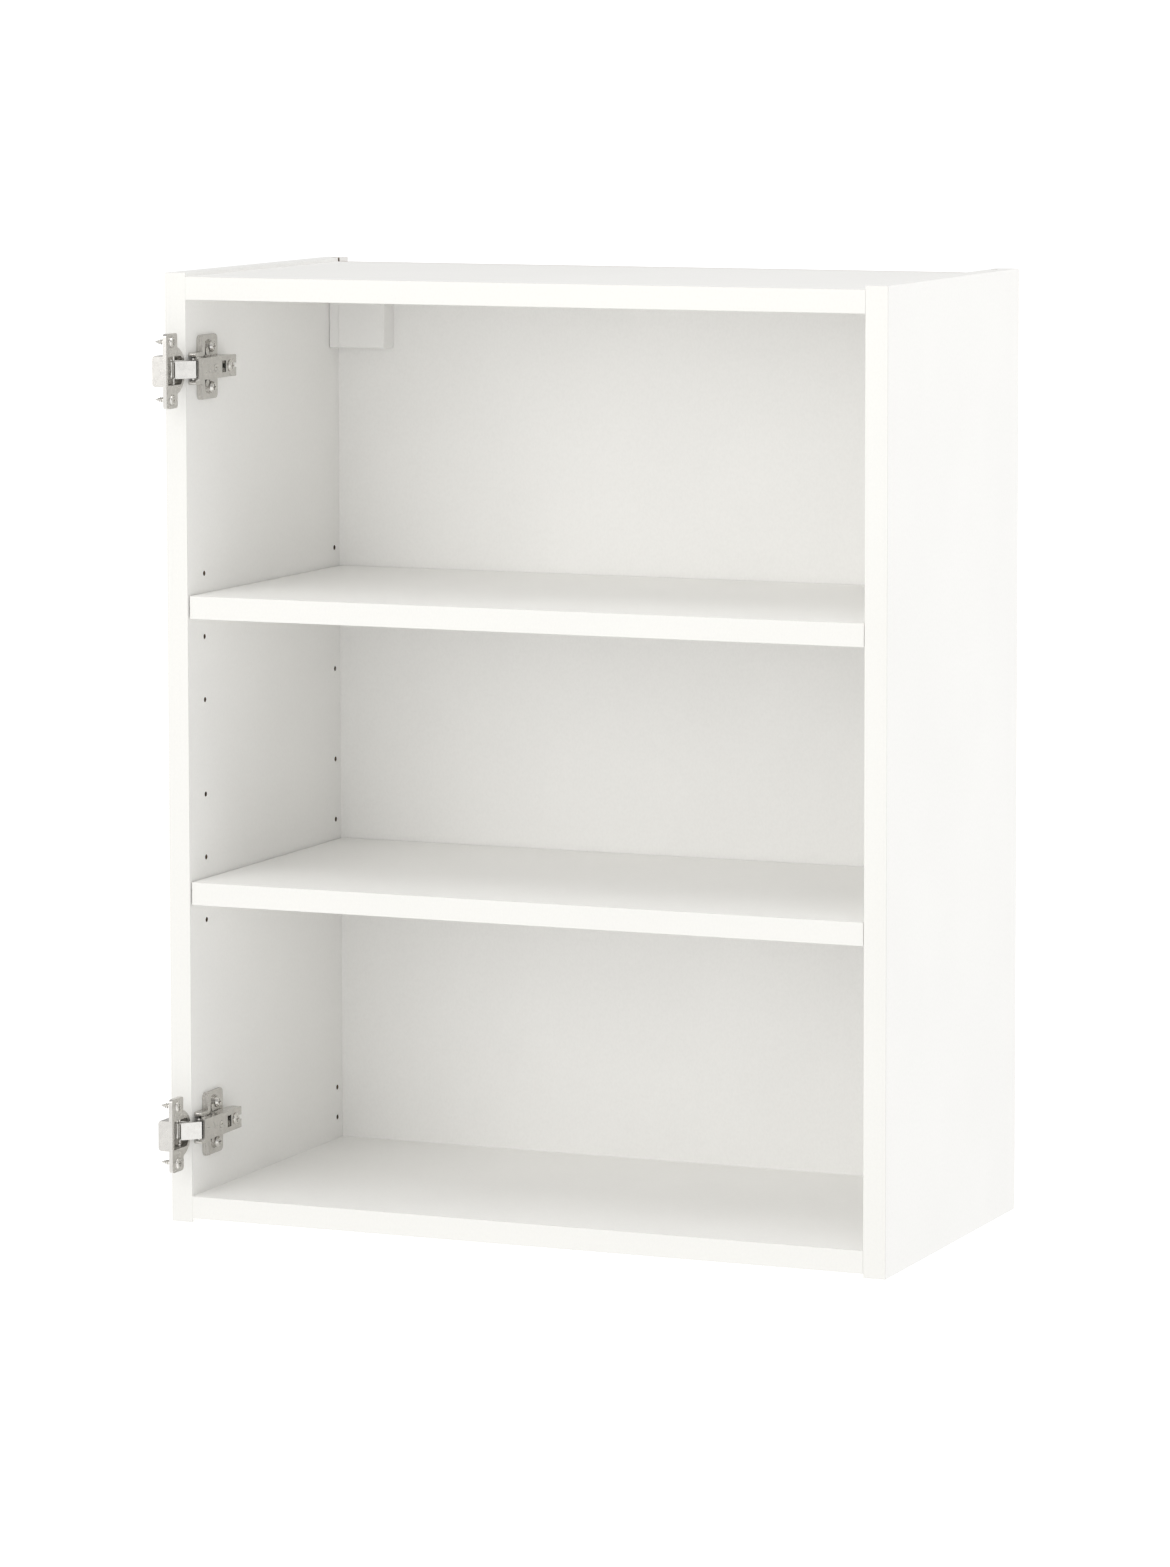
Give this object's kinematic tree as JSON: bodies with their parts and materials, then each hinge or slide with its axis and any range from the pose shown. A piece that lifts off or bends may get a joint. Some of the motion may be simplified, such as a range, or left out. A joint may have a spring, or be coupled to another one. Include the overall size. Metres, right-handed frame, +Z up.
{
  "type": "hanging wall cabinet",
  "caption": "White open-fronted hanging wall cabinet with loose inner shelves, hidden rail hangers and self-folding cup hinges ready for a door.",
  "frame": {"origin": "on the wall plane, half-way across, at the height where the hooks bear on the wall rail", "axes": "+X to the cabinet's right as seen from the front, +Y back into the wall, +Z up"},
  "size_m": [0.6, 0.3376, 0.75],
  "materials": {
    "white_board": "white melamine foil on chipboard, fine matt texture",
    "edge_band": "white plastic edge band, satin",
    "back_board": "white lacquered fibreboard, smooth matt",
    "dowel_wood": "fluted beech, raw",
    "fitting_metal": "zinc die-cast",
    "pin_steel": "nickel plated",
    "hanger_plastic": "moulded, satin",
    "cap_plastic": "white moulded, satin",
    "zinc_steel": "bright zinc plated",
    "hinge_screws": "nickel plated, bright",
    "link_steel": "bright nickel plated stamping",
    "hinge_steel": "satin nickel plated stamping"
  },
  "bodies": {
    "carcase": {"side_panel_left": "white_board", "side_panel_right": "white_board", "top_panel": "white_board", "bottom_panel": "white_board", "back_panel": "back_board", "edge_band_side_left": "edge_band", "edge_band_side_right": "edge_band", "edge_band_top": "edge_band", "edge_band_bottom": "edge_band", "cam_discs": "fitting_metal", "cam_bolts": "fitting_metal", "wood_dowels": "dowel_wood", "shelf_pins_upper": "pin_steel", "shelf_pins_lower": "pin_steel", "hanger_body_left": "hanger_plastic", "hanger_body_right": "hanger_plastic", "hanger_cap_left": "cap_plastic", "hanger_cap_right": "cap_plastic", "hanger_fixing_screws": "zinc_steel", "plate_upper": "hinge_steel", "plate_lower": "hinge_steel", "plate_screws_upper": "hinge_screws", "plate_screws_lower": "hinge_screws", "arm_upper": "hinge_steel", "arm_lower": "hinge_steel", "arm_screws_upper": "hinge_screws", "arm_screws_lower": "hinge_screws", "arm_pins_upper": "hinge_screws", "arm_pins_lower": "hinge_screws"},
    "shelf_upper": {"shelf_upper": "white_board", "edge_band_shelf_upper": "edge_band"},
    "link_upper": {"outer_link_upper": "link_steel"},
    "brace_upper": {"inner_link_upper": "hinge_steel"},
    "cup_upper": {"cup_upper": "hinge_steel", "cup_pins_upper": "hinge_screws", "cup_screws_upper": "hinge_screws"},
    "shelf_lower": {"shelf_lower": "white_board", "edge_band_shelf_lower": "edge_band"},
    "link_lower": {"outer_link_lower": "link_steel"},
    "brace_lower": {"inner_link_lower": "hinge_steel"},
    "cup_lower": {"cup_lower": "hinge_steel", "cup_pins_lower": "hinge_screws", "cup_screws_lower": "hinge_screws"},
    "hook_left": {"hanger_hook_left": "zinc_steel"},
    "lift_screw_left": {"hanger_screw_left": "zinc_steel"},
    "hook_right": {"hanger_hook_right": "zinc_steel"},
    "lift_screw_right": {"hanger_screw_right": "zinc_steel"}
  },
  "joints": [
    {"name": "hinge_upper_fold", "type": "hinge", "parent": "carcase", "child": "link_upper", "pos_m": [-0.273, -0.297, -0.025], "axis": [0, 0, -1], "range_deg": [-0.9, 15.8]},
    {"name": "hinge_upper_cup", "type": "hinge", "parent": "link_upper", "child": "cup_upper", "pos_m": [-0.28703, -0.3117, -0.025], "axis": [0, 0, 1], "range_deg": [-5.9, 105.77]},
    {"name": "hinge_upper_brace", "type": "hinge", "parent": "carcase", "child": "brace_upper", "pos_m": [-0.276, -0.289, -0.025], "axis": [0, 0, -1], "range_deg": [-1.8, 30]},
    {"name": "hinge_lower_fold", "type": "hinge", "parent": "carcase", "child": "link_lower", "pos_m": [-0.273, -0.297, -0.625], "axis": [0, 0, -1], "range_deg": [-0.9, 15.8]},
    {"name": "hinge_lower_cup", "type": "hinge", "parent": "link_lower", "child": "cup_lower", "pos_m": [-0.28703, -0.3117, -0.625], "axis": [0, 0, 1], "range_deg": [-5.9, 105.77]},
    {"name": "hinge_lower_brace", "type": "hinge", "parent": "carcase", "child": "brace_lower", "pos_m": [-0.276, -0.289, -0.625], "axis": [0, 0, -1], "range_deg": [-1.8, 30]},
    {"name": "shelf_upper_out", "type": "slide", "parent": "carcase", "child": "shelf_upper", "axis": [0, -1, 0], "range_m": [0, 0.25]},
    {"name": "shelf_lower_out", "type": "slide", "parent": "carcase", "child": "shelf_lower", "axis": [0, -1, 0], "range_m": [0, 0.25]},
    {"name": "hook_left_height", "type": "slide", "parent": "carcase", "child": "hook_left", "axis": [0, 0, 1], "range_m": [-0.0035, 0.0035]},
    {"name": "lift_screw_left_turn", "type": "hinge", "parent": "carcase", "child": "lift_screw_left", "pos_m": [-0.248, -0.034, 0.003], "axis": [0, 1, 0], "range_deg": [-361, 361]},
    {"name": "hook_right_height", "type": "slide", "parent": "carcase", "child": "hook_right", "axis": [0, 0, 1], "range_m": [-0.0035, 0.0035]},
    {"name": "lift_screw_right_turn", "type": "hinge", "parent": "carcase", "child": "lift_screw_right", "pos_m": [0.248, -0.034, 0.003], "axis": [0, 1, 0], "range_deg": [-361, 361]}
  ],
  "couplings": [
    {"joint": "hinge_upper_fold", "follows": "hinge_upper_cup", "ratio": 0.14907},
    {"joint": "hinge_upper_brace", "follows": "hinge_upper_cup", "ratio": 0.28323},
    {"joint": "hinge_lower_fold", "follows": "hinge_lower_cup", "ratio": 0.14907},
    {"joint": "hinge_lower_brace", "follows": "hinge_lower_cup", "ratio": 0.28323},
    {"joint": "lift_screw_left_turn", "follows": "hook_left_height", "rad_per_m": 1795.2},
    {"joint": "lift_screw_right_turn", "follows": "hook_right_height", "rad_per_m": 1795.2}
  ]
}
